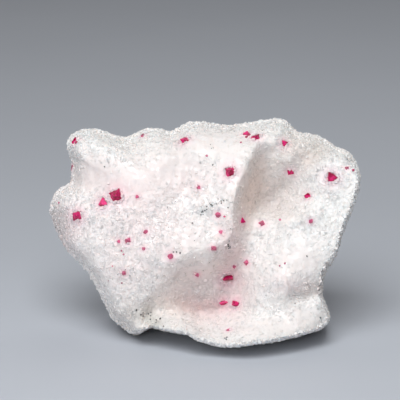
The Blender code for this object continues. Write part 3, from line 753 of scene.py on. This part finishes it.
RED_ABOVE = 1.15  # the reach above which a crystal is deep red; the marble makes the others paler
CRACK_WIDTH = 1.2  # of the pieces between the cracks inside
DEEP_RED = (0.32, 0.0, 0.03, 1)
BRIGHT_RED = (1.0, 0.035, 0.26, 1)
PALE_RED = (0.80, 0.36, 0.50, 1)


def spinel_finish(name, paleness):
    """Red spinel, glassy and cracked inside.  The paleness is that of marble over the crystal."""
    finish = Finish(name)
    tone = finish.cells(CRACK_WIDTH)[1]["Red"].above(0.15, 0.85)
    tone = tone * 0.7 + finish.noise(0.8).above(0.4, 0.6) * 0.3
    red = finish.mix(tone, DEEP_RED, BRIGHT_RED)
    red = finish.mix(finish.attribute("pale") * 0.6 + paleness, red, PALE_RED)
    return finish.surface({
        "Base Color": red, "Roughness": 0.25, "IOR": 1.718, "Transmission Weight": 0.35,
        "Specular Tint": (0.9, 0.22, 0.42, 1),
    })


red_spinel, pale_spinel = spinel_finish("spinel", 0.0), spinel_finish("pale_spinel", 0.45)
for name, reach in zip(spinel_nodes, spinel_reach):
    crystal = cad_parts[name]
    crystal.data.materials.clear()
    crystal.data.materials.append(red_spinel if reach > RED_ABOVE else pale_spinel)


# Specks of spinel: octahedra of the same red spinel that are too small to be pieces of the part.
# They grew in the marble like the crystals, and are half sunk in it and turned any way.

# On the show face: across, up, width, and how pale
SPECKS = [
    (-42.7, 9.7, 1.125, 0.8), (-37.7, 27.3, 1.25, 0), (10.5, 27.4, 0.875, 0.8), (43.5, 19.3, 1.125, 0.3),
    (21.9, 4.6, 1.0, 0.9), (5.7, 5.6, 0.875, 0.2), (-24.4, -4.3, 0.875, 0.9), (-23.7, -5.4, 0.75, 0.9),
    (22.0, -8.8, 0.75, 1), (23.4, -8.1, 0.75, 1), (-27.2, -8.8, 0.625, 0.4), (-24.3, -13.7, 0.75, 0.3),
    (-28.1, -13.0, 0.625, 0.4), (23.7, 32.5, 0.75, 0.4), (0.4, 23.4, 1.0, 1),
    (12.8, 29.6, 1.625, 0.3), (12.3, 28.9, 1.25, 0.4), (13.7, 28.6, 1.25, 0.4), (14.8, 28.1, 1.0, 0.5),
]
MORE_SPECKS = 26  # on the back


def on_face(across, up):
    """The skin's points nearest to these places of the show face, with their normals."""
    seen = face_place(skin_points[:len(front)])[0]
    found = [((seen - place) ** 2).sum(1).argmin() for place in zip(across, up)]
    return skin_points[found], normals[found]


def turns(random, count):
    """Random turns, as matrices made from even quaternions."""
    quaternions = random.normal(size=(count, 4))
    w, x, y, z = (quaternions / np.linalg.norm(quaternions, axis=1, keepdims=True)).T
    return np.stack([
        np.stack([1 - 2 * (y * y + z * z), 2 * (x * y - w * z), 2 * (x * z + w * y)], -1),
        np.stack([2 * (x * y + w * z), 1 - 2 * (x * x + z * z), 2 * (y * z - w * x)], -1),
        np.stack([2 * (x * z - w * y), 2 * (y * z + w * x), 1 - 2 * (x * x + y * y)], -1),
    ], 1)


def scattered_solids(name, points, shape, faces, sizes, turned):
    """One mesh of many copies of a small shape, each with its own size and turn."""
    corners = np.einsum("nij,kj->nki", turned, shape) * sizes[:, None, None] + points[:, None]
    corners[..., 2] = corners[..., 2].clip(0)
    faces = (faces + np.arange(len(points))[:, None, None] * len(shape)).reshape(-1, faces.shape[1])
    piece = add_mesh(name, corners.reshape(-1, 3), [faces], False)
    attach(piece, "root")
    return piece


octahedron = np.array([(1, 0, 0), (0, 1, 0), (-1, 0, 0), (0, -1, 0), (0, 0, 1), (0, 0, -1)]) / 2
octahedron_faces = np.array([
    (0, 1, 4), (1, 2, 4), (2, 3, 4), (3, 0, 4), (1, 0, 5), (2, 1, 5), (3, 2, 5), (0, 3, 5),
])
across, up, widths, paleness = np.array(SPECKS, float).T
more_points, _, random = scattered(back_faces, MORE_SPECKS, 31)
speck_points = np.concatenate([on_face(across, up)[0], more_points])
widths = np.concatenate([widths, random.uniform(0.6, 1.3, MORE_SPECKS)])
paleness = np.concatenate([paleness, random.uniform(0, 0.8, MORE_SPECKS)])
turned = turns(random, len(widths))
specks = scattered_solids("spinel_specks", speck_points, octahedron, octahedron_faces, widths, turned)
pale = specks.data.attributes.new("pale", "FLOAT", "POINT")
pale.data.foreach_set("value", np.repeat(paleness, len(octahedron)).astype(np.float32))
specks.data.materials.append(red_spinel)


# Dark flecks: thin flakes of a dark mineral that grew in the marble.  They lie along its surface in
# trails, with a few on their own.

# On the show face: across, up, half width, half height, turn in degrees, how many, width
FLECKS = [
    (2.3, 20.8, 0, 0, 0, 1, 0.65), (-4.0, 3.7, 0, 0, 0, 1, 0.6), (-10.9, 8.7, 0, 0, 0, 1, 0.45),
    (-29.2, 20.3, 0, 0, 0, 1, 0.4), (0.3, 7.6, 4.2, 0.6, 43, 12, 0.42), (5.5, 9.8, 2.4, 1.4, 0, 8, 0.38),
    (6.6, -1.8, 0.7, 2.6, 15, 6, 0.42), (-8.1, -4.7, 0.8, 0.2, 0, 3, 0.5),
    (-16.0, -23.4, 4.0, 1.6, -10, 9, 0.5), (-13.5, -25.5, 2.0, 1.0, 0, 5, 0.55),
    (-8.9, -23.0, 0.4, 0.4, 0, 2, 0.45), (6.4, -30.0, 0.5, 0.8, 0, 3, 0.55),
    (26.4, -20.2, 1.0, 0.5, 0, 1, 0.4), (33.7, -24.0, 0, 0, 0, 1, 0.5), (29.8, -5.8, 0.6, 0.6, 0, 2, 0.4),
    (16.7, 30.9, 0, 0, 0, 1, 0.4), (8.5, 30.6, 0, 0, 0, 1, 0.4), (1.8, 26.4, 1.0, 0.8, 0, 3, 0.28),
    (-24.0, -14.0, 3.0, 5.0, 20, 5, 0.35), (0.0, 0.0, 20.0, 12.0, 0, 10, 0.25),
]
MORE_FLECKS = 50  # on the back
FLECK_SPREAD = 0.6  # of a trail's half size, as the spread of a normal distribution
FLECK_TILT = 0.35
FLECK_LIFT = 0.1  # from the skin to a fleck's middle

random = np.random.default_rng(41)
fleck_places, widths = [], []
for across, up, half_width, half_height, turn, count, width in FLECKS:
    c, s = math.cos(math.radians(turn)), math.sin(math.radians(turn))
    x, y = random.normal(size=(2, count)) * np.array([[half_width], [half_height]]) * FLECK_SPREAD
    fleck_places.append(np.stack([across + x * c - y * s, up + x * s + y * c], -1))
    widths.append(width * random.uniform(0.7, 1.25, count))
fleck_points, fleck_normals = on_face(*np.concatenate(fleck_places).T)
more_points, more_normals, random = scattered(back_faces, MORE_FLECKS, 43)
fleck_points = np.concatenate([fleck_points, more_points])
fleck_normals = np.concatenate([fleck_normals, more_normals])
widths = np.concatenate([*widths, random.uniform(0.25, 0.6, MORE_FLECKS)])
around = np.arange(6) * math.pi / 3
flake = np.concatenate([
    np.stack([np.cos(around), 0.7 * np.sin(around), np.full(6, level)], -1) / 2 for level in (-0.5, 0.5)
])
sides = [(k, (k + 1) % 6, 6 + (k + 1) % 6, 6 + k) for k in range(6)]
ends = [(3, 2, 1, 0), (0, 5, 4, 3), (6, 7, 8, 9), (9, 10, 11, 6)]
turned = lying(fleck_normals, FLECK_TILT, random)
fleck_points = fleck_points + fleck_normals * FLECK_LIFT
flecks = scattered_solids("dark_flecks", fleck_points, flake, np.array(sides + ends), widths, turned)
dark = Finish("dark_fleck")
tone = dark.mix(dark.noise(0.5), (0.012, 0.012, 0.016, 1), (0.06, 0.055, 0.06, 1))
flecks.data.materials.append(dark.surface({"Base Color": tone, "Roughness": 0.4}))


# The floor it stands on, the light and the camera.  A large soft lamp hangs above and in front, a
# weak one fills the shade from the front left, and another lights the top and the back.

FLOOR_REACH = 3.0  # metres, like the places and sizes of the lamps
MM_PER_PIXEL = 0.293
PICTURE_WIDTH = 400
FACE_MIDDLE = (205, 236)  # pixel across and down at the middle of the face coordinates
SENSOR_WIDTH = 36

scene = bpy.context.scene
floor = bpy.data.meshes.new("floor")
corners = [(x * FLOOR_REACH, y * FLOOR_REACH, 0) for x, y in ((-1, -1), (1, -1), (1, 1), (-1, 1))]
floor.from_pydata(corners, [], [(0, 1, 2, 3)])
floor = bpy.data.objects.new("floor", floor)
scene.collection.objects.link(floor)
paper = Finish("paper")
tone = paper.mix(paper.noise(60.0), (0.51, 0.545, 0.60, 1), (0.53, 0.565, 0.62, 1))
floor.data.materials.append(paper.surface({"Base Color": tone, "Roughness": 0.7}))

scene.world = bpy.data.worlds.new("room")
scene.world.use_nodes = True
sky = scene.world.node_tree.nodes["Background"]
sky.inputs["Color"].default_value = (1.0, 0.96, 0.95, 1)
sky.inputs["Strength"].default_value = 0.15
for name, place, width, energy in (
    ("softbox", (-0.08, -0.42, 0.60), 0.45, 4.6), ("fill", (-0.32, -0.67, 0.12), 0.4, 1.35),
    ("back_softbox", (0.10, 0.36, 0.55), 0.4, 0.5),
):
    lamp = bpy.data.lights.new(name, "AREA")
    lamp.size, lamp.energy = width, energy
    lamp = bpy.data.objects.new(name, lamp)
    scene.collection.objects.link(lamp)
    lamp.location = place
    lamp.rotation_euler = (-lamp.location).to_track_quat("-Z", "Y").to_euler()

right = Vector((1, 0, 0))
along_face = Vector((0, math.sin(LEAN), math.cos(LEAN)))
picture_middle = [
    (PICTURE_WIDTH / 2 - FACE_MIDDLE[0]) * MM_PER_PIXEL,
    (FACE_MIDDLE[1] - PICTURE_WIDTH / 2) * MM_PER_PIXEL,
    VIEW_POINT[2],
]
camera = bpy.data.objects.new("camera", bpy.data.cameras.new("camera"))
scene.collection.objects.link(camera)
camera.matrix_world = (
    Matrix.Translation(Vector((standing(np.array(picture_middle)) + home) * MM))
    @ Matrix((right, along_face, right.cross(along_face))).transposed().to_4x4()
)
camera.data.sensor_width = SENSOR_WIDTH
camera.data.lens = SENSOR_WIDTH * VIEW_POINT[2] / (PICTURE_WIDTH * MM_PER_PIXEL)
scene.camera = camera
scene.view_settings.view_transform = "Standard"
